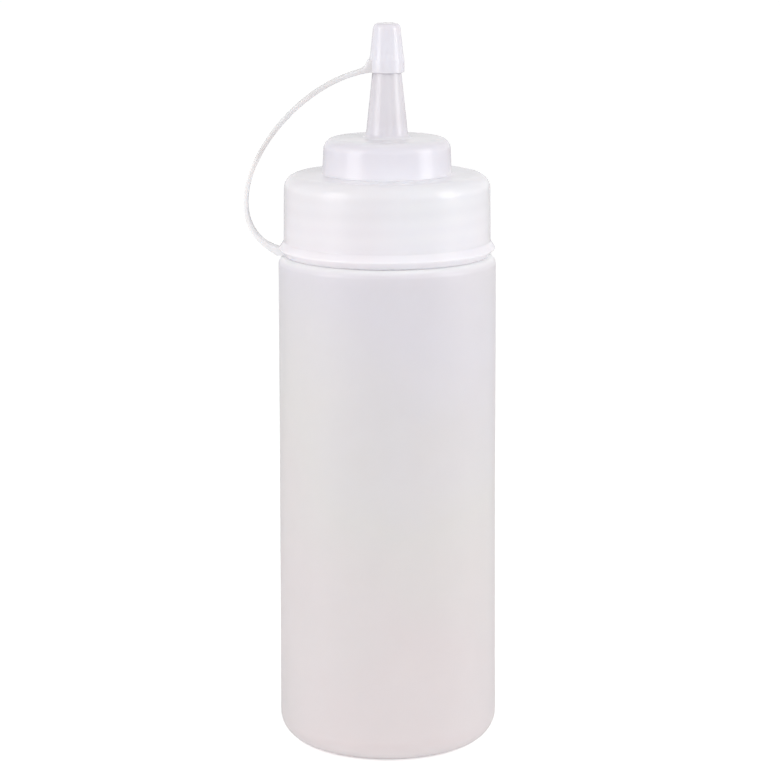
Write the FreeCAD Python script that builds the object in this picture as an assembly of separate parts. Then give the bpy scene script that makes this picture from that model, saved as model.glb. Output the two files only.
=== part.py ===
"""Squeeze bottle: a blow-moulded bottle and a screw lid with a tethered tip cap.

Millimetres. +Z is up, and the origin is on the bottle's axis in the plane that it stands on.
The lid, its strap and its tip cap are one moulding, so they are one solid.
"""
import FreeCAD
import Part
import math
import os

from FreeCAD import Vector

# Bottle body
BODY_RADIUS = 30.0          # outside, at the foot
BODY_DRAFT = 0.18           # degrees that the side leans in
SHOULDER_HEIGHT = 135.7
SHOULDER_ROUND = 2.4
FOOT_ROUND = 7.6            # from the side into the standing ring
WALL = 0.95                 # blown wall of the side and the shoulder
FLOOR = 1.4                 # the base is blown thicker than the side

# Pushed-up base
STANDING_RING = 2.4         # width of the ring that the bottle stands on
PUSH_UP = 2.2               # height of the raised middle
PUSH_UP_SLOPE = 9.0         # radial run from the ring up to the raised middle
PUSH_UP_ROUND = 10.0
RING_ROUND = 1.2

# Neck
NECK_SETBACK = 4.3          # from the side of the shoulder in to the root of the thread
NECK_HEIGHT = 20.7
NECK_WALL = 1.4
RIM_BEVEL = 0.4             # both edges of the rim
THREAD_DEPTH = 1.15         # both threads lie in the room that this leaves
THREAD_CLEARANCE = 0.45

# Lid
LID_GAP = 0.15              # between the shoulder and the lower edge of the skirt
SKIRT_WALL = 1.3
SKIRT_DRAFT = 0.67          # degrees
LID_TOP = 1.5
LID_EDGE_ROUND = 3.9
SEAT_BEVEL = 1.2            # inside corner over the bottle's rim
BEAD_HEIGHT = 4.0           # grip bead round the lower edge of the skirt
BEAD_DEPTH = 1.3
BEAD_UNDERCUT = 0.6         # how far in past the skirt's side its lower slope ends
BEAD_ROUND = 0.45

# Raised middle of the lid
DOME_RADIUS = 17.54         # outside, at its foot
DOME_HEIGHT = 9.75
DOME_DRAFT = 2.6            # degrees
DOME_WALL = 1.4
DOME_EDGE_ROUND = 3.05

# Nozzle
NOZZLE_RADIUS = 5.8         # outside, at its foot
NOZZLE_HEIGHT = 28.85
NOZZLE_TAPER = 6.08         # degrees
NOZZLE_WALL = 1.15
NOZZLE_FOOT_ROUND = 1.6

# Tip cap
CAP_REACH = 11.25           # length of nozzle that it covers
CAP_CLEARANCE = 0.2         # round the nozzle
CAP_END_CLEARANCE = 0.4     # over the nozzle's tip
CAP_WALL = 0.85
CAP_TOP = 1.5
CAP_EDGE_ROUND = 1.4
COLLAR_HEIGHT = 5.0
COLLAR_STEP = 0.3           # how far it stands out from the cap's cone
COLLAR_SLOPE = 1.6          # height of the slope between the two

# Strap between the bead and the collar, bent over from the flat
STRAP_WIDTH = 5.0
STRAP_THICKNESS = 1.2
STRAP_BEAD_RISE = 22.5      # degrees above level where it leaves the bead
STRAP_COLLAR_FALL = 8.4     # degrees below level where it leaves the collar
STRAP_BEAD_PULL = 23.4      # how far each end carries on before the strap turns
STRAP_COLLAR_PULL = 24.5
ROOT_FLARE = 0.55           # thickening of each face towards the bead
ROOT_SHARE = 0.12           # part of the strap's run over which it thickens
WEB_ROUND = 2.0             # web in the corner between the strap and the collar
WEB_SPAN = 3.4              # how far the web reaches along the strap


def lean(height, degrees):
    """How far a side that leans by this angle moves in over this height."""
    return height * math.tan(math.radians(degrees))


def rounded_outline(corners):
    """Closed face in the XZ plane from (x, z, round) corners, each round a tangent arc."""
    points = [Vector(x, 0, z) for x, z, _ in corners]
    ends = []
    for i, (_, _, radius) in enumerate(corners):
        here = points[i]
        back = (points[i - 1] - here).normalize()
        ahead = (points[(i + 1) % len(points)] - here).normalize()
        if radius == 0:
            ends.append((here, None, here))
            continue
        half_angle = back.getAngle(ahead) / 2
        reach = radius / math.tan(half_angle)
        middle = (back + ahead).normalize() * (radius / math.sin(half_angle) - radius)
        ends.append((here + back * reach, here + middle, here + ahead * reach))
    edges = []
    for i, (start, middle, finish) in enumerate(ends):
        if middle is not None:
            edges.append(Part.Arc(start, middle, finish).toShape())
        following = ends[(i + 1) % len(ends)][0]
        edges.append(Part.LineSegment(finish, following).toShape())
    return Part.Face(Part.Wire(edges))


def turned(corners):
    """Solid of revolution about Z from (radius, height, round) corners."""
    return rounded_outline(corners).revolve(Vector(0, 0, 0), Vector(0, 0, 1), 360)


# Sizes that follow from the ones above

shoulder_radius = BODY_RADIUS - lean(SHOULDER_HEIGHT, BODY_DRAFT)
neck_radius = shoulder_radius - NECK_SETBACK
rim_height = SHOULDER_HEIGHT + NECK_HEIGHT

skirt_foot = SHOULDER_HEIGHT + LID_GAP
skirt_inside = neck_radius + THREAD_DEPTH + THREAD_CLEARANCE
skirt_outside = skirt_inside + SKIRT_WALL
skirt_lean = lean(rim_height + LID_TOP - skirt_foot, SKIRT_DRAFT)
lid_height = rim_height + LID_TOP

dome_height = lid_height + DOME_HEIGHT
dome_top_radius = DOME_RADIUS - lean(DOME_HEIGHT, DOME_DRAFT)
nozzle_height = dome_height + NOZZLE_HEIGHT
cap_mouth = nozzle_height - CAP_REACH
cap_height = nozzle_height + CAP_END_CLEARANCE + CAP_TOP


def nozzle_radius(height):
    """Outside radius of the nozzle's cone."""
    return NOZZLE_RADIUS - lean(height - dome_height, NOZZLE_TAPER)


def bore_radius(height):
    """Radius of the nozzle's tapered bore, an even wall inside the cone."""
    return nozzle_radius(height) - NOZZLE_WALL / math.cos(math.radians(NOZZLE_TAPER))


def cap_inside(height):
    """Radius of the cap's hollow, clear of the nozzle all the way up."""
    return nozzle_radius(height) + CAP_CLEARANCE


def cap_outside(height):
    """Outside radius of the cap's cone."""
    return cap_inside(height) + CAP_WALL


collar_top = cap_mouth + COLLAR_HEIGHT
collar_radius = cap_outside(collar_top) + COLLAR_STEP
bead_height = skirt_foot + BEAD_HEIGHT / 2


def bottle():
    """Body, pushed-up base, shoulder and open neck, as one blown wall."""
    ring_outside = BODY_RADIUS - FOOT_ROUND
    ring_inside = ring_outside - STANDING_RING
    middle_radius = ring_inside - PUSH_UP_SLOPE
    neck_inside = neck_radius - NECK_WALL
    under_shoulder = SHOULDER_HEIGHT - WALL
    shoulder_bevel = SHOULDER_ROUND - WALL
    outside = [
        (0, PUSH_UP, 0),
        (middle_radius, PUSH_UP, PUSH_UP_ROUND),
        (ring_inside, 0, RING_ROUND),
        (BODY_RADIUS, 0, FOOT_ROUND),
        (shoulder_radius, SHOULDER_HEIGHT, SHOULDER_ROUND),
        (neck_radius, SHOULDER_HEIGHT, 0),
        (neck_radius, rim_height - RIM_BEVEL, 0),
        (neck_radius - RIM_BEVEL, rim_height, 0),
    ]
    inside = [
        (neck_inside + RIM_BEVEL, rim_height, 0),
        (neck_inside, rim_height - RIM_BEVEL, 0),
        (neck_inside, under_shoulder, 0),
        (shoulder_radius - WALL - shoulder_bevel, under_shoulder, 0),
        (shoulder_radius - WALL, under_shoulder - shoulder_bevel, 0),
        (BODY_RADIUS - WALL, FLOOR, FOOT_ROUND - WALL),
        (ring_inside, FLOOR, RING_ROUND + FLOOR),
        (middle_radius, PUSH_UP + FLOOR, PUSH_UP_ROUND - FLOOR),
        (0, PUSH_UP + FLOOR, 0),
    ]
    return turned(outside + inside)


def lid_body():
    """Skirt with its bead, flat top, raised middle and open nozzle, as one wall."""
    bead_top_radius = skirt_outside - lean(BEAD_HEIGHT, SKIRT_DRAFT)
    outside = [
        (skirt_outside - BEAD_UNDERCUT, skirt_foot, 0),
        (skirt_outside + BEAD_DEPTH, bead_height, BEAD_ROUND),
        (bead_top_radius, skirt_foot + BEAD_HEIGHT, BEAD_ROUND),
        (skirt_outside - skirt_lean, lid_height, LID_EDGE_ROUND),
        (DOME_RADIUS, lid_height, 0),
        (dome_top_radius, dome_height, DOME_EDGE_ROUND),
        (NOZZLE_RADIUS, dome_height, NOZZLE_FOOT_ROUND),
        (nozzle_radius(nozzle_height), nozzle_height, 0),
    ]
    ceiling = dome_height - DOME_WALL
    inside = [
        (bore_radius(nozzle_height), nozzle_height, 0),
        (bore_radius(ceiling), ceiling, DOME_WALL),
        (dome_top_radius - DOME_WALL, ceiling, DOME_EDGE_ROUND - DOME_WALL),
        (DOME_RADIUS - DOME_WALL, rim_height, 0),
        (skirt_inside - SEAT_BEVEL, rim_height, 0),
        (skirt_inside, rim_height - SEAT_BEVEL, 0),
        (skirt_inside, skirt_foot, 0),
    ]
    return turned(outside + inside)


def cap_blank():
    """Outside of the tip cap, solid, with the collar round its mouth."""
    return turned([
        (0, cap_mouth, 0),
        (collar_radius, cap_mouth, 0),
        (collar_radius, collar_top - COLLAR_SLOPE, 0),
        (cap_outside(collar_top), collar_top, 0),
        (cap_outside(cap_height), cap_height, CAP_EDGE_ROUND),
        (0, cap_height, 0),
    ])


def cap_hollow():
    """The tapered hollow that goes over the nozzle."""
    end = cap_height - CAP_TOP
    return turned([
        (0, cap_mouth - CAP_WALL, 0),
        (cap_inside(cap_mouth - CAP_WALL), cap_mouth - CAP_WALL, 0),
        (cap_inside(end), end, 0),
        (0, end, 0),
    ])


def strap_half(along):
    """Half of the strap's thickness, at 0 on the bead to 1 on the collar."""
    near_bead = max(0, 1 - along / ROOT_SHARE)
    return STRAP_THICKNESS / 2 + ROOT_FLARE * near_bead ** 2


def strap_line():
    """The bent strap's middle line, from the bead's edge to the collar's side.

    Its lower face ends level with the skirt's foot at one end and the cap's mouth at the other.
    """
    rise = math.radians(STRAP_BEAD_RISE)
    fall = math.radians(STRAP_COLLAR_FALL)
    bead_side = -(skirt_outside + BEAD_DEPTH)
    bead_end = Vector(bead_side, 0, skirt_foot + strap_half(0) * math.cos(rise))
    collar_end = Vector(-collar_radius, 0, cap_mouth + strap_half(1) * math.cos(fall))
    bead_pole = bead_end + Vector(-math.cos(rise), 0, math.sin(rise)) * STRAP_BEAD_PULL
    collar_pole = collar_end + Vector(-math.cos(fall), 0, -math.sin(fall)) * STRAP_COLLAR_PULL
    line = Part.BezierCurve()
    line.setPoles([bead_end, bead_pole, collar_pole, collar_end])
    return line


def strap_face(line, side):
    """Points on one face of the strap: side is -1 for the inner face and 1 for the outer."""
    stations = 20
    points = []
    for i in range(stations + 1):
        along = i / stations
        direction = line.tangent(along)[0]
        across = Vector(-direction.z, 0, direction.x)
        points.append(line.value(along) + across * (side * strap_half(along)))
    return points


def across_width(outline):
    """An outline in the XZ plane made as wide as the strap."""
    return outline.translated(Vector(0, -STRAP_WIDTH / 2, 0)).extrude(Vector(0, STRAP_WIDTH, 0))


def ribbon(line):
    """The bent strap, with its ends carried level into the skirt and the collar."""
    in_skirt = -(skirt_outside - (BEAD_UNDERCUT + SKIRT_WALL) / 2)
    in_collar = -(collar_radius - CAP_WALL - CAP_CLEARANCE)
    ends = []
    edges = []
    for side in (-1, 1):
        points = strap_face(line, side)
        face = Part.BSplineCurve()
        face.interpolate(points)
        start = Vector(in_skirt, 0, points[0].z)
        finish = Vector(in_collar, 0, points[-1].z)
        edges.append(Part.LineSegment(start, points[0]).toShape())
        edges.append(face.toShape())
        edges.append(Part.LineSegment(points[-1], finish).toShape())
        ends.append((start, finish))
    for inner_end, outer_end in zip(*ends):
        edges.append(Part.LineSegment(inner_end, outer_end).toShape())
    return across_width(Part.Face(Part.Wire(Part.__sortEdges__(edges))))


def collar_web(line):
    """Web in the corner over the strap, up the side of the collar."""
    corner = Vector(-collar_radius, 0, cap_mouth + STRAP_THICKNESS)
    foot = corner - line.tangent(1)[0] * WEB_SPAN - Vector(0, 0, STRAP_THICKNESS / 4)
    top = collar_top - COLLAR_SLOPE
    inner = corner.x + CAP_WALL + CAP_CLEARANCE
    return across_width(rounded_outline([
        (foot.x, foot.z, 0),
        (corner.x, corner.z, WEB_ROUND),
        (corner.x, top, 0),
        (inner, top, 0),
        (inner, corner.z - STRAP_THICKNESS / 2, 0),
    ]))


def strap():
    """Flat strap from the bead to the collar, bent as it is with the cap on."""
    line = strap_line()
    return ribbon(line).fuse(collar_web(line))


def lid():
    """Lid, strap and tip cap as the one moulding that they are."""
    cap = cap_blank().fuse(strap()).cut(cap_hollow())
    return lid_body().fuse(cap).removeSplitter()


os.makedirs("parts", exist_ok=True)
for name, shape in (("bottle", bottle()), ("lid", lid())):
    solid = shape.Solids[0]
    if len(shape.Solids) != 1 or not solid.isValid():
        raise RuntimeError(name + " is not one valid solid")
    solid.exportStep("parts/" + name + ".step")
    box = solid.BoundBox
    print(name, "volume %.0f mm3" % solid.Volume, "height %.2f to %.2f" % (box.ZMin, box.ZMax),
          "width %.2f to %.2f" % (box.XMin, box.XMax))
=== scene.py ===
"""A round squeeze bottle of frosted natural plastic, with its screw lid, strap and tip cap.

The sections follow the object as it is put together: the blown bottle first, then the
moulded lid with its nozzle, then the tip cap and the strap, which belong to the same moulding.
"""
import math

import bpy
import numpy as np
from mathutils import Matrix, Vector


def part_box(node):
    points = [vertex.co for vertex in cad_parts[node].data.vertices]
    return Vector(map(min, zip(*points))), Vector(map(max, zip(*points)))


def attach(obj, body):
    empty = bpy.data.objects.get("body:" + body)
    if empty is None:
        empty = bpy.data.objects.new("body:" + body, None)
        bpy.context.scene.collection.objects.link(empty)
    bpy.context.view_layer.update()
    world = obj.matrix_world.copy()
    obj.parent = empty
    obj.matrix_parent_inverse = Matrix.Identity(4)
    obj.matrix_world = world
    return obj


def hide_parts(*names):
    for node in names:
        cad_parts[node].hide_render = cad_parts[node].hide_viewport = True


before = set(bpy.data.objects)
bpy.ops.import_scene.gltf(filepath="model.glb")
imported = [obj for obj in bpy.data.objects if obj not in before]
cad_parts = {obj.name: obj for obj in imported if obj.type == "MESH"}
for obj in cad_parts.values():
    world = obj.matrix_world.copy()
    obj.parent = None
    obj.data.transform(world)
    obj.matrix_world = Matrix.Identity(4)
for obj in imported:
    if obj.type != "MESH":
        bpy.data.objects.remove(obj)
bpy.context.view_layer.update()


# ---- Camera -----------------------------------------------------------------
# A long lens a little above the bottle, looking down on it from the front, with
# the bottle's axis just left of the middle.

camera_place = Vector((0.0007, -0.8089, 0.2593))
camera_pitch = math.radians(11.27)
camera_roll = math.radians(-0.1)

camera_data = bpy.data.cameras.new("studio_camera")
camera_data.lens = 138.7
camera_data.sensor_width = 36
camera_data.clip_start = 0.05
camera_data.clip_end = 60
camera = bpy.data.objects.new("studio_camera", camera_data)
bpy.context.scene.collection.objects.link(camera)
level_view = Matrix.Rotation(math.pi / 2 - camera_pitch, 4, "X")
rolled = Matrix.Rotation(camera_roll, 4, "Z")
camera.matrix_world = Matrix.Translation(camera_place) @ level_view @ rolled
bpy.context.scene.camera = camera
bpy.context.scene.view_settings.view_transform = "Standard"

# Light crosses many thin walls on its way through this object.
bpy.context.scene.cycles.max_bounces = 24
bpy.context.scene.cycles.diffuse_bounces = 16
bpy.context.scene.cycles.transmission_bounces = 16


# ---- Table, backdrop and lamps ----------------------------------------------
# A white card table that runs out of sight, in a white room that is dimmer
# behind the bottle than before it, and an upright softbox on each side.

WHITE = (1, 1, 1, 1)
sweep_half = 9.0
card_white = 0.88
card_lift = 0.5
room_front = 1.2
room_back = 0.43
room_above = 0.6
lamp_distance = 0.55
lamp_width = 0.28
lamp_low = 0.11
lamp_high = 0.6


def new_piece(name, verts, faces):
    """An object of these points and faces, in the scene."""
    mesh = bpy.data.meshes.new(name)
    mesh.from_pydata(verts, [], faces)
    piece = bpy.data.objects.new(name, mesh)
    bpy.context.scene.collection.objects.link(piece)
    return piece


def new_material(name):
    """A material with an empty node tree, that tree, and its output node."""
    material = bpy.data.materials.new(name)
    material.use_nodes = True
    tree = material.node_tree
    tree.nodes.clear()
    return material, tree, tree.nodes.new("ShaderNodeOutputMaterial")


def feed(tree, socket, value):
    """Give a socket a number, a colour or another node's output."""
    if isinstance(value, bpy.types.NodeSocket):
        tree.links.new(value, socket)
    else:
        socket.default_value = value


def maths(tree, operation, *values):
    """Output of a math node on these numbers or outputs."""
    node = tree.nodes.new("ShaderNodeMath")
    node.operation = operation
    for socket, value in zip(node.inputs, values):
        feed(tree, socket, value)
    return node.outputs[0]


def ramp(tree, value, start, end, first, last, curve="LINEAR"):
    """Goes from first to last while the value goes from start to end, and stays level beyond."""
    node = tree.nodes.new("ShaderNodeMapRange")
    node.interpolation_type = curve
    settings = {"Value": value, "From Min": start, "From Max": end, "To Min": first, "To Max": last}
    for label, setting in settings.items():
        feed(tree, node.inputs[label], setting)
    return node.outputs["Result"]


def parts_of(tree, vector):
    """The three numbers of a vector."""
    node = tree.nodes.new("ShaderNodeSeparateXYZ")
    tree.links.new(vector, node.inputs[0])
    return node.outputs


def ray_kind(tree, *kinds):
    """Output that is 1 for rays of any of these kinds."""
    path = tree.nodes.new("ShaderNodeLightPath")
    total = path.outputs[kinds[0]]
    for kind in kinds[1:]:
        total = maths(tree, "MAXIMUM", total, path.outputs[kind])
    return total


sweep_card, tree, output = new_material("white_card")
card = tree.nodes.new("ShaderNodeBsdfDiffuse")
card.inputs["Color"].default_value = (card_white, card_white, card_white, 1)
glow = tree.nodes.new("ShaderNodeEmission")
glow.inputs["Color"].default_value = WHITE
feed(tree, glow.inputs["Strength"],
     maths(tree, "MULTIPLY", ray_kind(tree, "Is Camera Ray"), card_lift))
both = tree.nodes.new("ShaderNodeAddShader")
tree.links.new(card.outputs[0], both.inputs[0])
tree.links.new(glow.outputs[0], both.inputs[1])
tree.links.new(both.outputs[0], output.inputs["Surface"])

sweep = new_piece(
    "table_sweep",
    [(-sweep_half, -sweep_half, 0), (sweep_half, -sweep_half, 0),
     (sweep_half, sweep_half, 0), (-sweep_half, sweep_half, 0)],
    [(0, 1, 2, 3)])
sweep.data.materials.append(sweep_card)

room = bpy.data.worlds.new("white_room")
room.use_nodes = True
bpy.context.scene.world = room
tree = room.node_tree
tree.nodes.clear()
_, depth, above = parts_of(tree, tree.nodes.new("ShaderNodeTexCoord").outputs["Generated"])
dimmed = maths(tree, "MULTIPLY", ramp(tree, depth, -1, 1, room_front, room_back),
               ramp(tree, above, 0, 1, 1.0, room_above))
seen = ray_kind(tree, "Is Camera Ray", "Is Glossy Ray")
room_light = tree.nodes.new("ShaderNodeBackground")
room_light.inputs["Color"].default_value = WHITE
feed(tree, room_light.inputs["Strength"], ramp(tree, seen, 0, 1, dimmed, 1.0))
room_output = tree.nodes.new("ShaderNodeOutputWorld")
tree.links.new(room_light.outputs[0], room_output.inputs["Surface"])


def softbox(name, azimuth, brightness):
    """An upright soft lamp that faces the bottle; azimuth 0 is the camera's side, 90 the right."""
    data = bpy.data.lights.new(name, "AREA")
    data.shape = "RECTANGLE"
    data.size = lamp_width
    data.size_y = lamp_high - lamp_low
    data.energy = brightness * math.pi * data.size * data.size_y
    lamp = bpy.data.objects.new(name, data)
    bpy.context.scene.collection.objects.link(lamp)
    turn = math.radians(azimuth)
    away = Vector((math.sin(turn), -math.cos(turn), 0))
    lamp.location = away * lamp_distance + Vector((0, 0, (lamp_low + lamp_high) / 2))
    lamp.rotation_mode = "QUATERNION"
    lamp.rotation_quaternion = away.to_track_quat("Z", "Y")


softbox("left_softbox", azimuth=-60, brightness=2.7)
softbox("right_softbox", azimuth=74, brightness=3.0)


# ---- Bottle -----------------------------------------------------------------
# One blown wall of soft natural plastic: a straight body on a pushed-up base, a
# small shoulder and a wide threaded neck. The mould leaves a fine seam up both
# sides, which goes on as the pinched-off line across the base.

MM = 0.001
_, bottle_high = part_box("bottle")
body_radius = 30.0 * MM
body_draft = math.radians(0.18)
rim_height = bottle_high.z
neck_height = 20.7 * MM
shoulder_height = rim_height - neck_height
shoulder_round = 2.4 * MM
foot_round = 7.6 * MM
wall = 0.95 * MM
floor_wall = 1.4 * MM
standing_ring = 2.4 * MM
ring_round = 1.2 * MM
push_up = 2.2 * MM
push_up_slope = 9.0 * MM
push_up_round = 10.0 * MM
neck_setback = 4.3 * MM
neck_wall = 1.4 * MM
neck_root_round = 0.35 * MM
under_shoulder_round = 0.6 * MM
rim_round = 0.4 * MM

thread_depth = 1.15 * MM
thread_clearance = 0.45 * MM
thread_pitch = 4.23 * MM
thread_turns = 2.4
thread_root = 2.5 * MM
thread_crest = 0.9 * MM
thread_runout = 0.06
neck_thread_start = shoulder_height + 4.6 * MM

seam_width = 0.5 * MM
seam_height = 0.05 * MM
pinch_width = 1.6 * MM
pinch_height = 0.3 * MM
pinch_edge = 1.5
# The blown side is slack by this much at most, in waves of (number round, phase, turn a metre).
sway = 0.09 * MM
sway_waves = ((2, 0.7, 14), (3, -1.9, -47))

# How finely outlines and turned walls are divided, and what counts as a crease.
arc_turn = math.radians(8)
thread_step = 0.3 * MM
body_step = 2.5 * MM
bottle_inside_step = 4 * MM
bottle_columns = 192
crease = math.radians(32)

shoulder_radius = body_radius - shoulder_height * math.tan(body_draft)
neck_radius = shoulder_radius - neck_setback


def rounded(corners):
    """Points of an outline from (radius, height, round) corners, each round a tangent arc."""
    points = [Vector(corner[:2]) for corner in corners]
    outline = [points[0]]
    for before, here, after, corner in zip(points, points[1:], points[2:], corners[1:]):
        radius = corner[2]
        if radius == 0:
            outline.append(here)
            continue
        back = (before - here).normalized()
        ahead = (after - here).normalized()
        half = back.angle(ahead) / 2
        centre = here + (back + ahead).normalized() * (radius / math.sin(half))
        start = here + back * (radius / math.tan(half)) - centre
        arc = math.pi - 2 * half
        side = 1 if back.cross(ahead) < 0 else -1
        steps = max(2, math.ceil(arc / arc_turn))
        for step in range(steps + 1):
            outline.append(centre + Matrix.Rotation(side * arc * step / steps, 2) @ start)
    return outline + [points[-1]]


def divided(outline, longest):
    """The same outline with its long runs divided evenly."""
    dense = [outline[0]]
    for here in outline[1:]:
        last = dense[-1]
        steps = max(1, math.ceil((here - last).length / longest))
        dense += [last.lerp(here, step / steps) for step in range(1, steps + 1)]
    return dense


def thread_ridge(angle, height, start):
    """How far a screw thread stands out of the wall at this angle and height."""
    ridge = np.zeros(np.broadcast(angle, height).shape)
    for turn in range(math.ceil(thread_turns) + 1):
        turned = angle / math.tau + turn
        middle = start + thread_pitch * turned
        flank = (thread_root / 2 - abs(height - middle)) / ((thread_root - thread_crest) / 2)
        ends = np.minimum(turned, thread_turns - turned) / thread_runout
        ridge = np.maximum(ridge, np.clip(flank, 0, 1) * np.clip(ends, 0, 1))
    return thread_depth * ridge * ridge * (3 - 2 * ridge)


def column_angles(count, seams=()):
    """Angles round the axis, evenly spaced and closer across each of the body's seams."""
    angles = set(np.round(np.arange(count) * math.tau / count, 9))
    for seam in seams:
        for across in (-0.5, -0.25, 0, 0.25, 0.5):
            angles.add(round((seam + across * seam_width / body_radius) % math.tau, 9))
    return np.array(sorted(angles))


def turned_shell(name, outline, angles, relief=None, closed=False):
    """An outline turned about Z: a closed one gives a ring, an open one ends on the axis."""
    radius = np.array([point.x for point in outline])[:, None]
    height = np.array([point.y for point in outline])[:, None]
    if relief is not None:
        radius, height = relief(angles[None, :], radius, height)
    radius, height, across = np.broadcast_arrays(radius, height, angles[None, :])
    points = np.stack([radius * np.cos(across), radius * np.sin(across), height], axis=-1)
    rows, columns = across.shape
    first, last = (0, rows) if closed else (1, rows - 1)
    verts = [tuple(point) for point in points[first:last].reshape(-1, 3)]
    rings = last - first

    def at(row, column):
        return (row % rings) * columns + column % columns

    faces = []
    for row in range(rings if closed else rings - 1):
        for column in range(columns):
            faces.append((at(row, column), at(row, column + 1),
                          at(row + 1, column + 1), at(row + 1, column)))
    if not closed:
        verts += [(0, 0, float(height[0, 0])), (0, 0, float(height[-1, 0]))]
        for column in range(columns):
            faces.append((len(verts) - 2, at(0, column + 1), at(0, column)))
            faces.append((len(verts) - 1, at(rings - 1, column), at(rings - 1, column + 1)))
    return new_piece(name, verts, faces)


def finish_surface(piece):
    """Smooth shading, but for the creases."""
    mesh = piece.data
    mesh.polygons.foreach_set("use_smooth", [True] * len(mesh.polygons))
    mesh.set_sharp_from_angle(angle=crease)
    mesh.validate()
    mesh.update()


def blown_relief(angle, radius, height):
    """Thread of the neck, slack of the blown side, seams and the pinched line of the base."""
    row = np.arange(len(radius))[:, None]
    outside = row < neck_row
    upright = outside & (height > foot_round) & (height < shoulder_height - shoulder_round)
    beside_seam = abs((angle + math.pi / 2) % math.pi - math.pi / 2) * body_radius
    seam = seam_height * np.clip(1 - beside_seam / (seam_width / 2), 0, 1)
    belly = np.sin(math.pi * np.clip(height / shoulder_height, 0, 1)) ** 2
    waves = [np.sin(number * angle + phase + climb * height)
             for number, phase, climb in sway_waves]
    slack = sum(waves, start=len(waves)) / (2 * len(waves))
    side = upright * (seam - seam_height) - outside * belly * slack * sway
    ridge = thread_ridge(angle, height, neck_thread_start) * ((row >= neck_row) & (row < rim_row))
    beside_pinch = abs(radius * np.sin(angle)) / (pinch_width / 2)
    under = outside & (radius < ring_inside - ring_round) & (height < push_up + MM)
    pinch = pinch_height * under * np.clip(pinch_edge * (1 - beside_pinch), 0, 1)
    return radius + side + ridge, height - pinch


ring_outside = body_radius - foot_round
ring_inside = ring_outside - standing_ring
middle_radius = ring_inside - push_up_slope
neck_inside = neck_radius - neck_wall
neck_middle = neck_radius - neck_wall / 2
under_shoulder = shoulder_height - wall
body_outline = divided(rounded([
    (0, push_up, 0),
    (middle_radius, push_up, push_up_round),
    (ring_inside, 0, ring_round),
    (body_radius, 0, foot_round),
    (shoulder_radius, shoulder_height, shoulder_round),
    (neck_radius + neck_root_round, shoulder_height, 0),
]), body_step)
neck_outline = divided(rounded([
    (neck_radius + neck_root_round, shoulder_height, 0),
    (neck_radius, shoulder_height, neck_root_round),
    (neck_radius, rim_height, rim_round),
    (neck_middle, rim_height, 0),
]), thread_step)[1:]
inner_outline = divided(rounded([
    (neck_middle, rim_height, 0),
    (neck_inside, rim_height, rim_round),
    (neck_inside, under_shoulder, under_shoulder_round),
    (shoulder_radius - wall, under_shoulder, shoulder_round - wall),
    (body_radius - wall, floor_wall, foot_round - wall),
    (ring_inside, floor_wall, ring_round + floor_wall),
    (middle_radius, push_up + floor_wall, push_up_round - floor_wall),
    (0, push_up + floor_wall, 0),
]), bottle_inside_step)[1:]
neck_row = len(body_outline)
rim_row = neck_row + len(neck_outline)
bottle = turned_shell("bottle_blown", body_outline + neck_outline + inner_outline,
                      column_angles(bottle_columns, seams=(0, math.pi)), blown_relief)


def node_group(name, inputs, outputs):
    """A shader node group with these named sockets: the group, its given values, its results."""
    group = bpy.data.node_groups.new(name, "ShaderNodeTree")
    for label, value in inputs.items():
        kind = "NodeSocketColor" if isinstance(value, tuple) else "NodeSocketFloat"
        socket = group.interface.new_socket(label, in_out="INPUT", socket_type=kind)
        socket.default_value = value
    for label, kind in outputs.items():
        group.interface.new_socket(label, in_out="OUTPUT", socket_type="NodeSocket" + kind)
    given = group.nodes.new("NodeGroupInput").outputs
    return group, given, group.nodes.new("NodeGroupOutput").inputs


def piece_place(tree):
    """Where on the piece a point is, in metres."""
    return tree.nodes.new("ShaderNodeTexCoord").outputs["Object"]


def vector_maths(tree, operation, first, second):
    """Output of a vector math node; SCALE takes a number second, and the others a vector."""
    node = tree.nodes.new("ShaderNodeVectorMath")
    node.operation = operation
    feed(tree, node.inputs[0], first)
    feed(tree, node.inputs["Scale" if operation == "SCALE" else 1], second)
    return node.outputs[0]


def mixed(tree, share, first, second):
    """The first colour, with this share of the second."""
    node = tree.nodes.new("ShaderNodeMix")
    node.data_type = "RGBA"
    for label, value in (("Factor", share), ("A", first), ("B", second)):
        feed(tree, node.inputs[label], value)
    return node.outputs["Result"]


def noise(tree, place, scale, detail=2.0, roughness=0.5):
    """Noise from 0 to 1 at this place, with scale as features a metre."""
    node = tree.nodes.new("ShaderNodeTexNoise")
    for label, value in (("Vector", place), ("Scale", scale),
                         ("Detail", detail), ("Roughness", roughness)):
        feed(tree, node.inputs[label], value)
    return node.outputs[0]


# Natural plastic is never one colour: it varies at random in soft clouds, haze and blush.
# The cooler top and warmer foot are partly painted light: they stand for how light passes
# through thin and thick walls, and for what the wall catches from the room.
plain = (0.8, 0.8, 0.8, 1)
haze_fineness = 6.0
blush_fineness = 0.7
blush_drift = (0.02, 0.01, 0.004)
blush_low, blush_high = 0.42, 0.62
blush_colour = (1.0, 0.955, 0.93, 1)

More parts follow.
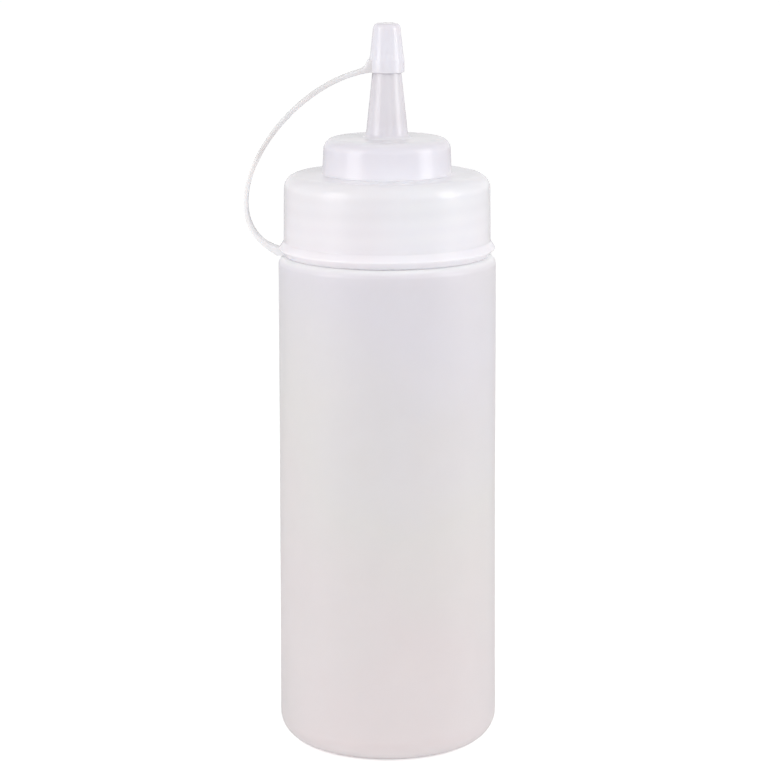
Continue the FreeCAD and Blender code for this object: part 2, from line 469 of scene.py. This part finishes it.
tint_and_painted_light, given, result = node_group(
    "tint_and_painted_light",
    {"Cool Colour": plain, "Middle Colour": plain, "Warm Colour": plain,
     "Cool Height": 0.2, "Warm Height": 0.0, "Lean": 0.0,
     "Cloud Size": 0.05, "Cloud Share": 0.5, "Haze": 0.03, "Blush": 0.5},
    {"Color": "Color"})
tree = tint_and_painted_light
place = piece_place(tree)
across, _, up = parts_of(tree, place)
leaning = maths(tree, "ADD", up, maths(tree, "MULTIPLY", across, given["Lean"]))
level = ramp(tree, leaning, given["Cool Height"], given["Warm Height"], 0, 1)
cloud_scale = maths(tree, "DIVIDE", 1.0, given["Cloud Size"])
cloud = maths(tree, "SUBTRACT", noise(tree, place, cloud_scale), 0.5)
cloud = maths(tree, "MULTIPLY", cloud, maths(tree, "MULTIPLY", given["Cloud Share"], 2.0))
cool_half = maths(tree, "MULTIPLY", maths(tree, "ADD", level, cloud), 2.0)
warm_half = maths(tree, "SUBTRACT", cool_half, 1.0)
colour = mixed(tree, cool_half, given["Cool Colour"], given["Middle Colour"])
colour = mixed(tree, warm_half, colour, given["Warm Colour"])
haze = noise(tree, place, maths(tree, "MULTIPLY", cloud_scale, haze_fineness), detail=4.0)
haze = maths(tree, "MULTIPLY", maths(tree, "SUBTRACT", haze, 0.5), given["Haze"])
colour = vector_maths(tree, "SCALE", colour, maths(tree, "ADD", haze, 1.0))
blush = noise(tree, vector_maths(tree, "ADD", place, blush_drift),
              maths(tree, "MULTIPLY", cloud_scale, blush_fineness), detail=1.0)
blush = ramp(tree, blush, blush_low, blush_high, 0, 1, "SMOOTHSTEP")
blush = mixed(tree, maths(tree, "MULTIPLY", blush, given["Blush"]), WHITE, blush_colour)
feed(tree, result["Color"], vector_maths(tree, "MULTIPLY", colour, blush))

# The skin that the mould leaves: a fine blasted grain over a faint slow ripple, and
# wiped streaks and finger marks where the gloss is a little higher or lower.
streak_stretch = (1, 1, 0.16)

mould_skin, given, result = node_group(
    "mould_skin",
    {"Grain Size": 0.0004, "Grain Height": 0.5, "Ripple Size": 0.02, "Ripple Height": 1.0,
     "Roughness": 0.3, "Handling": 0.1},
    {"Height": "Float", "Roughness": "Float"})
tree = mould_skin
place = piece_place(tree)
grain = noise(tree, place, maths(tree, "DIVIDE", 1.0, given["Grain Size"]), detail=3.0)
ripple = noise(tree, place, maths(tree, "DIVIDE", 1.0, given["Ripple Size"]), detail=1.0)
feed(tree, result["Height"],
     maths(tree, "ADD", maths(tree, "MULTIPLY", grain, given["Grain Height"]),
           maths(tree, "MULTIPLY", ripple, given["Ripple Height"])))
streaks = noise(tree, vector_maths(tree, "MULTIPLY", place, streak_stretch),
                scale=260.0, detail=5.0, roughness=0.62)
smears = noise(tree, place, scale=38.0, detail=3.0, roughness=0.55)
marks = maths(tree, "SUBTRACT", maths(tree, "ADD", streaks, smears), 1.0)
marks = maths(tree, "MULTIPLY", marks, given["Handling"])
feed(tree, result["Roughness"], maths(tree, "ADD", given["Roughness"], marks))

# Painted light: near-white bands round a piece at given heights lighten its creases, grooves, lips
# and foot, for light that soaks through the plastic and fills them.
painted_light_colour = (0.97, 0.96, 0.975, 1)

painted_light_band, given, result = node_group(
    "painted_light_band", {"Color": plain, "Middle": 0.1, "Reach": 0.001, "Light Share": 0.5},
    {"Color": "Color"})
tree = painted_light_band
_, _, up = parts_of(tree, piece_place(tree))
away = maths(tree, "ABSOLUTE", maths(tree, "SUBTRACT", up, given["Middle"]))
near = ramp(tree, away, 0, given["Reach"], 1, 0, "SMOOTHSTEP")
lit_share = maths(tree, "MULTIPLY", near, given["Light Share"])
feed(tree, result["Color"], mixed(tree, lit_share, given["Color"], painted_light_colour))


def placed(tree, group, values):
    """A group placed in a material with its own values."""
    node = tree.nodes.new("ShaderNodeGroup")
    node.node_tree = group
    for label, value in values.items():
        node.inputs[label].default_value = value
    return node


def painted_light_at(height, reach, light_share):
    """A band of painted light round the piece at this height, as a layer for soft_plastic."""
    return painted_light_band, {"Middle": height, "Reach": reach, "Light Share": light_share}


def soft_plastic(name, tint_values, skin_values, soak, layers=()):
    """Frosted polythene: light soaks some way into it, under a moulded and handled skin."""
    material, tree, output = new_material(name)
    colour = placed(tree, tint_and_painted_light, tint_values).outputs["Color"]
    for group, values in layers:
        layer = placed(tree, group, values)
        tree.links.new(colour, layer.inputs["Color"])
        colour = layer.outputs["Color"]
    finish = placed(tree, mould_skin, skin_values)
    bump = tree.nodes.new("ShaderNodeBump")
    bump.inputs["Strength"].default_value = 0.6
    bump.inputs["Distance"].default_value = 1.0 * MM
    skin = tree.nodes.new("ShaderNodeBsdfPrincipled")
    skin.inputs["IOR"].default_value = 1.51
    skin.inputs["Subsurface Weight"].default_value = 1.0
    skin.inputs["Subsurface Radius"].default_value = (1.0, 0.95, 0.92)
    skin.inputs["Subsurface Scale"].default_value = soak
    tree.links.new(colour, skin.inputs["Base Color"])
    tree.links.new(finish.outputs["Roughness"], skin.inputs["Roughness"])
    tree.links.new(finish.outputs["Height"], bump.inputs["Height"])
    tree.links.new(bump.outputs[0], skin.inputs["Normal"])
    tree.links.new(skin.outputs[0], output.inputs["Surface"])
    return material


bottle.data.materials.append(soft_plastic(
    "blown_frosted_plastic",
    # Partly painted light: the cooler top, warmer foot and lean across the bottle stand for light
    # and room colour that the wall passes and catches.
    {"Cool Colour": (0.775, 0.744, 0.795, 1), "Middle Colour": (0.785, 0.752, 0.747, 1),
     "Warm Colour": (0.81, 0.74, 0.748, 1), "Cool Height": 0.122, "Warm Height": 0.038,
     "Lean": 0.45, "Cloud Size": 0.055, "Cloud Share": 0.5, "Haze": 0.03, "Blush": 0.15},
    {"Grain Size": 0.0005, "Grain Height": 0.006, "Ripple Size": 0.018, "Ripple Height": 0.12,
     "Roughness": 0.36, "Handling": 0.1},
    soak=1.5 * MM,
    # Painted light: near-white bands lighten the groove under the lid's bead and the foot.
    layers=[painted_light_at(shoulder_height, reach=1.6 * MM, light_share=0.9),
            painted_light_at(0.0, reach=6 * MM, light_share=0.4)]))
finish_surface(bottle)
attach(bottle, "root")
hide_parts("bottle")


# ---- Lid ----------------------------------------------------------------------
# Moulded in one shot from the same soft plastic, smoother and whiter: a threaded
# skirt with a grip bead round its lower edge, a raised middle and a long nozzle.
# It screws down until its top rests on the bottle's rim.

lid_low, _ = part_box("lid")
skirt_foot = lid_low.z - 0.13 * MM
skirt_wall = 1.3 * MM
skirt_draft = math.radians(0.67)
seat_bevel = 1.2 * MM
seat_round = 0.5 * MM
lid_top = 1.5 * MM
lid_edge_round = 3.9 * MM
bead_height = 4.0 * MM
bead_depth = 1.3 * MM
bead_undercut = 0.6 * MM
bead_round = 0.45 * MM

dome_radius = 17.54 * MM
dome_rise = 9.75 * MM
dome_draft = math.radians(2.6)
dome_wall = 1.4 * MM
dome_edge_round = 3.05 * MM

nozzle_foot_radius = 5.8 * MM
nozzle_rise = 28.85 * MM
nozzle_taper = math.radians(6.08)
nozzle_wall = 1.15 * MM
nozzle_foot_round = 1.6 * MM
lip_round = 0.15 * MM
crease_round = 0.3 * MM

lid_step = 2 * MM
lid_inside_step = 3 * MM
lid_columns = 180

lid_height = rim_height + lid_top
skirt_inside = neck_radius + thread_depth + thread_clearance
skirt_outside = skirt_inside + skirt_wall
skirt_top_radius = skirt_outside - (lid_height - skirt_foot) * math.tan(skirt_draft)
foot_middle = skirt_outside - (skirt_wall + bead_undercut) / 2
dome_height = lid_height + dome_rise
dome_top_radius = dome_radius - dome_rise * math.tan(dome_draft)
nozzle_height = dome_height + nozzle_rise
ceiling = dome_height - dome_wall


def nozzle_radius(height):
    """Outside radius of the nozzle's cone."""
    return nozzle_foot_radius - (height - dome_height) * math.tan(nozzle_taper)


def bore_radius(height):
    """Radius of the tapered bore inside the cone."""
    return nozzle_radius(height) - nozzle_wall / math.cos(nozzle_taper)


def moulded_relief(angle, radius, height):
    """The lid's own thread, in the gaps of the one on the neck."""
    lining = np.arange(len(radius))[:, None] >= lining_row
    ridge = thread_ridge(angle, height, neck_thread_start - thread_pitch / 2)
    return radius - ridge * lining, height


tip_middle = nozzle_radius(nozzle_height) - nozzle_wall / 2
lid_outside = divided(rounded([
    (foot_middle, skirt_foot, 0),
    (skirt_outside - bead_undercut, skirt_foot, lip_round),
    (skirt_outside + bead_depth, skirt_foot + bead_height / 2, bead_round),
    (skirt_outside - bead_height * math.tan(skirt_draft), skirt_foot + bead_height, bead_round),
    (skirt_top_radius, lid_height, lid_edge_round),
    (dome_radius, lid_height, crease_round),
    (dome_top_radius, dome_height, dome_edge_round),
    (nozzle_foot_radius, dome_height, nozzle_foot_round),
    (nozzle_radius(nozzle_height), nozzle_height, lip_round),
    (tip_middle, nozzle_height, 0),
]), lid_step)
lid_inside = divided(rounded([
    (tip_middle, nozzle_height, 0),
    (bore_radius(nozzle_height), nozzle_height, lip_round),
    (bore_radius(ceiling), ceiling, dome_wall),
    (dome_top_radius - dome_wall, ceiling, dome_edge_round - dome_wall),
    (dome_radius - dome_wall, rim_height, crease_round),
    (skirt_inside - seat_bevel, rim_height, 0),
]), lid_inside_step)[1:]
skirt_lining = divided(rounded([
    (skirt_inside - seat_bevel, rim_height, 0),
    (skirt_inside, rim_height - seat_bevel, seat_round),
    (skirt_inside, skirt_foot, lip_round),
    (foot_middle, skirt_foot, 0),
]), thread_step)[1:-1]
lining_row = len(lid_outside) + len(lid_inside)
lid = turned_shell("lid_moulded", lid_outside + lid_inside + skirt_lining,
                   column_angles(lid_columns), moulded_relief, closed=True)

# Painted shade: where the skirt lies over the screw thread, faint light and dark bands are
# painted into its colour for the ridges that show through from behind, up to this far below the
# rim.
seen_thread_gap = 1.5 * MM
threads_behind, given, result = node_group(
    "threads_behind", {"Color": plain, "Start": 0.14, "Pitch": 0.004, "Top": 0.154, "Show": 0.03},
    {"Color": "Color"})
tree = threads_behind
across, deep, up = parts_of(tree, piece_place(tree))
turned = maths(tree, "DIVIDE", maths(tree, "SUBTRACT", up, given["Start"]), given["Pitch"])
phase = maths(tree, "SUBTRACT", maths(tree, "MULTIPLY", turned, math.tau),
              maths(tree, "ARCTAN2", deep, across))
bands = maths(tree, "MULTIPLY", maths(tree, "COSINE", phase), given["Show"])
bands = maths(tree, "MULTIPLY", bands, maths(tree, "LESS_THAN", up, given["Top"]))
feed(tree, result["Color"],
     vector_maths(tree, "SCALE", given["Color"], maths(tree, "ADD", bands, 1.0)))

moulded_skin = {"Grain Size": 0.0004, "Grain Height": 0.003, "Ripple Size": 0.012,
                "Ripple Height": 0.05, "Roughness": 0.2, "Handling": 0.06}
# Painted shade and light: the darker top colour on the raised middle and nozzle stands for the
# light lost through their single wall, and the skirt's lighter colour for the neck showing behind
# it.
lid.data.materials.append(soft_plastic(
    "moulded_soft_plastic",
    {"Cool Colour": (0.745, 0.717, 0.755, 1), "Middle Colour": (0.80, 0.78, 0.84, 1),
     "Warm Colour": (0.885, 0.868, 0.925, 1), "Cool Height": 0.172, "Warm Height": 0.156,
     "Cloud Size": 0.03, "Cloud Share": 0.3, "Haze": 0.02, "Blush": 0.6},
    moulded_skin, soak=1.5 * MM,
    # Painted light: near-white bands lighten the groove at the skirt's foot, the crease round the
    # raised middle and its top edge.
    layers=[painted_light_at(skirt_foot, reach=1.6 * MM, light_share=0.2),
            painted_light_at(lid_height, reach=1.2 * MM, light_share=0.15),
            painted_light_at(dome_height, reach=1.2 * MM, light_share=0.3),
            (threads_behind, {"Start": neck_thread_start, "Pitch": thread_pitch,
                              "Top": rim_height - seen_thread_gap, "Show": 0.009})]))


# ---- Tip cap ------------------------------------------------------------------
# A closed cone with a thin wall that is pushed down over the nozzle's tip, and a
# thicker collar round its mouth. It is soft plastic from the lid's own moulding.

cap_reach = 11.25 * MM
cap_clearance = 0.2 * MM
cap_end_clearance = 0.4 * MM
cap_wall = 0.85 * MM
cap_top = 1.5 * MM
cap_edge_round = 1.4 * MM
cap_hollow_round = 0.5 * MM
collar_rise = 5.0 * MM
collar_step = 0.3 * MM
collar_slope = 1.6 * MM
collar_round = 2.0 * MM
collar_lip_round = 0.25 * MM
cap_step = 1.5 * MM
cap_columns = 96

cap_mouth = nozzle_height - cap_reach
cap_ceiling = nozzle_height + cap_end_clearance
cap_height = cap_ceiling + cap_top
collar_top = cap_mouth + collar_rise


def cap_inside(height):
    """Radius of the cap's hollow, clear of the nozzle all the way up."""
    return nozzle_radius(height) + cap_clearance


def cap_outside(height):
    """Outside radius of the cap's cone."""
    return cap_inside(height) + cap_wall


collar_radius = cap_outside(collar_top) + collar_step
cap_outline = divided(rounded([
    (0, cap_height, 0),
    (cap_outside(cap_height), cap_height, cap_edge_round),
    (cap_outside(collar_top), collar_top, collar_round),
    (collar_radius, collar_top - collar_slope, collar_round),
    (collar_radius, cap_mouth, collar_lip_round),
    (cap_inside(cap_mouth), cap_mouth, lip_round),
    (cap_inside(cap_ceiling), cap_ceiling, cap_hollow_round),
    (0, cap_ceiling, 0),
]), cap_step)
cap = turned_shell("tip_cap", cap_outline, column_angles(cap_columns))
cap.data.materials.append(soft_plastic(
    "moulded_cap_plastic",
    {"Cool Colour": (0.79, 0.77, 0.825, 1), "Middle Colour": (0.80, 0.785, 0.84, 1),
     "Warm Colour": (0.82, 0.80, 0.85, 1), "Cool Height": 0.196, "Warm Height": 0.185,
     "Cloud Size": 0.008, "Cloud Share": 0.3, "Haze": 0.02},
    moulded_skin, soak=0.8 * MM))


# ---- Strap --------------------------------------------------------------------
# A thin flat strip of the same moulding, from the bead to the cap's collar. It was
# moulded straight, and is bent over in a wide loop to bring the cap to the nozzle.

strap_width = 5.0 * MM
strap_thickness = 1.2 * MM
strap_edge_round = 0.3 * MM
strap_edge_steps = 3
strap_stations = 72
bead_rise = math.radians(22.5)
collar_fall = math.radians(8.4)
bead_pull = 23.4 * MM
collar_pull = 24.5 * MM
root_flare = 0.55 * MM
root_share = 0.12
web_span = 3.4 * MM
web_curve = 2.2
web_rise = collar_rise - collar_slope - strap_thickness
collar_bite = 0.4 * MM

root_half = strap_thickness / 2 + root_flare
bead_end = Vector((-(skirt_outside + bead_depth), 0,
                   skirt_foot + root_half * math.cos(bead_rise)))
collar_end = Vector((-collar_radius, 0, cap_mouth + strap_thickness / 2 * math.cos(collar_fall)))
bead_pole = bead_end + Vector((-math.cos(bead_rise), 0, math.sin(bead_rise))) * bead_pull
collar_pole = (collar_end
               + Vector((-math.cos(collar_fall), 0, -math.sin(collar_fall))) * collar_pull)


def strap_point(along):
    """Point and direction of the strap's middle line, from 0 on the bead to 1 on the collar."""
    rest = 1 - along
    place = (bead_end * rest ** 3 + bead_pole * 3 * rest * rest * along
             + collar_pole * 3 * rest * along * along + collar_end * along ** 3)
    ahead = ((bead_pole - bead_end) * rest * rest + (collar_pole - bead_pole) * 2 * rest * along
             + (collar_end - collar_pole) * along * along)
    return place, ahead.normalized()


def strap_section(half_width, inner, outer):
    """Rounded rectangle across the strap, as (sideways, outwards) points."""
    points = []
    corners = ((half_width, outer), (-half_width, outer), (-half_width, -inner),
               (half_width, -inner))
    for quarter, (sideways, outwards) in enumerate(corners):
        centre = Vector((sideways - math.copysign(strap_edge_round, sideways),
                         outwards - math.copysign(strap_edge_round, outwards)))
        for step in range(strap_edge_steps + 1):
            angle = (quarter + step / strap_edge_steps) * math.pi / 2
            points.append(centre + Vector((math.cos(angle), math.sin(angle))) * strap_edge_round)
    return points


def inside_wall(points, radius):
    """The same points moved level along X to this radius, on the strap's side of the axis."""
    return [Vector((-math.sqrt(radius ** 2 - point.y ** 2), point.y, point.z))
            for point in points]


stations = [i / strap_stations for i in range(strap_stations + 1)]
runs = [strap_point(b)[0] - strap_point(a)[0] for a, b in zip(stations, stations[1:])]
length = sum(run.length for run in runs)
rings = []
for along in stations:
    place, ahead = strap_point(along)
    outwards = Vector((-ahead.z, 0, ahead.x))
    near_bead = max(0, 1 - along / root_share) ** 2
    near_collar = max(0, 1 - (1 - along) * length / web_span)
    half = strap_thickness / 2 + root_flare * near_bead
    web = web_rise * (1 - math.sqrt(max(0, 1 - near_collar ** web_curve)))
    section = strap_section(strap_width / 2, half, half + web)
    rings.append([place + Vector((0, side, 0)) + outwards * out for side, out in section])
rings.insert(0, inside_wall(rings[0], foot_middle))
rings.append(inside_wall(rings[-1], collar_radius - collar_bite))
count = len(rings[0])
faces = [tuple(range(count))[::-1], tuple((len(rings) - 1) * count + i for i in range(count))]
for row in range(len(rings) - 1):
    for i in range(count):
        here, beside = row * count + i, row * count + (i + 1) % count
        faces.append((here, beside, beside + count, here + count))
strap = new_piece("strap", [tuple(point) for ring in rings for point in ring], faces)
# Painted shade: the strap's middle is given a darker colour than its ends, for the grey the thin
# strap shows against the white.
strap.data.materials.append(soft_plastic(
    "moulded_strap_plastic",
    {"Cool Colour": (0.80, 0.79, 0.81, 1), "Middle Colour": (0.725, 0.72, 0.73, 1),
     "Warm Colour": (0.89, 0.885, 0.895, 1), "Cool Height": 0.189, "Warm Height": 0.145,
     "Cloud Size": 0.01, "Cloud Share": 0.4, "Haze": 0.04},
    moulded_skin, soak=0.8 * MM))

# Lid, strap and cap come out of the mould as one, so their meshes are joined into one skin.
for part in (strap, cap):
    union = lid.modifiers.new(part.name, "BOOLEAN")
    union.operation = "UNION"
    union.solver = "EXACT"
    union.material_mode = "TRANSFER"
    union.object = part
depsgraph = bpy.context.evaluated_depsgraph_get()
joined = bpy.data.meshes.new_from_object(lid.evaluated_get(depsgraph))
lid.modifiers.clear()
lid.data = joined
for part in (strap, cap):
    bpy.data.objects.remove(part)

finish_surface(lid)
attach(lid, "root")
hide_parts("lid")
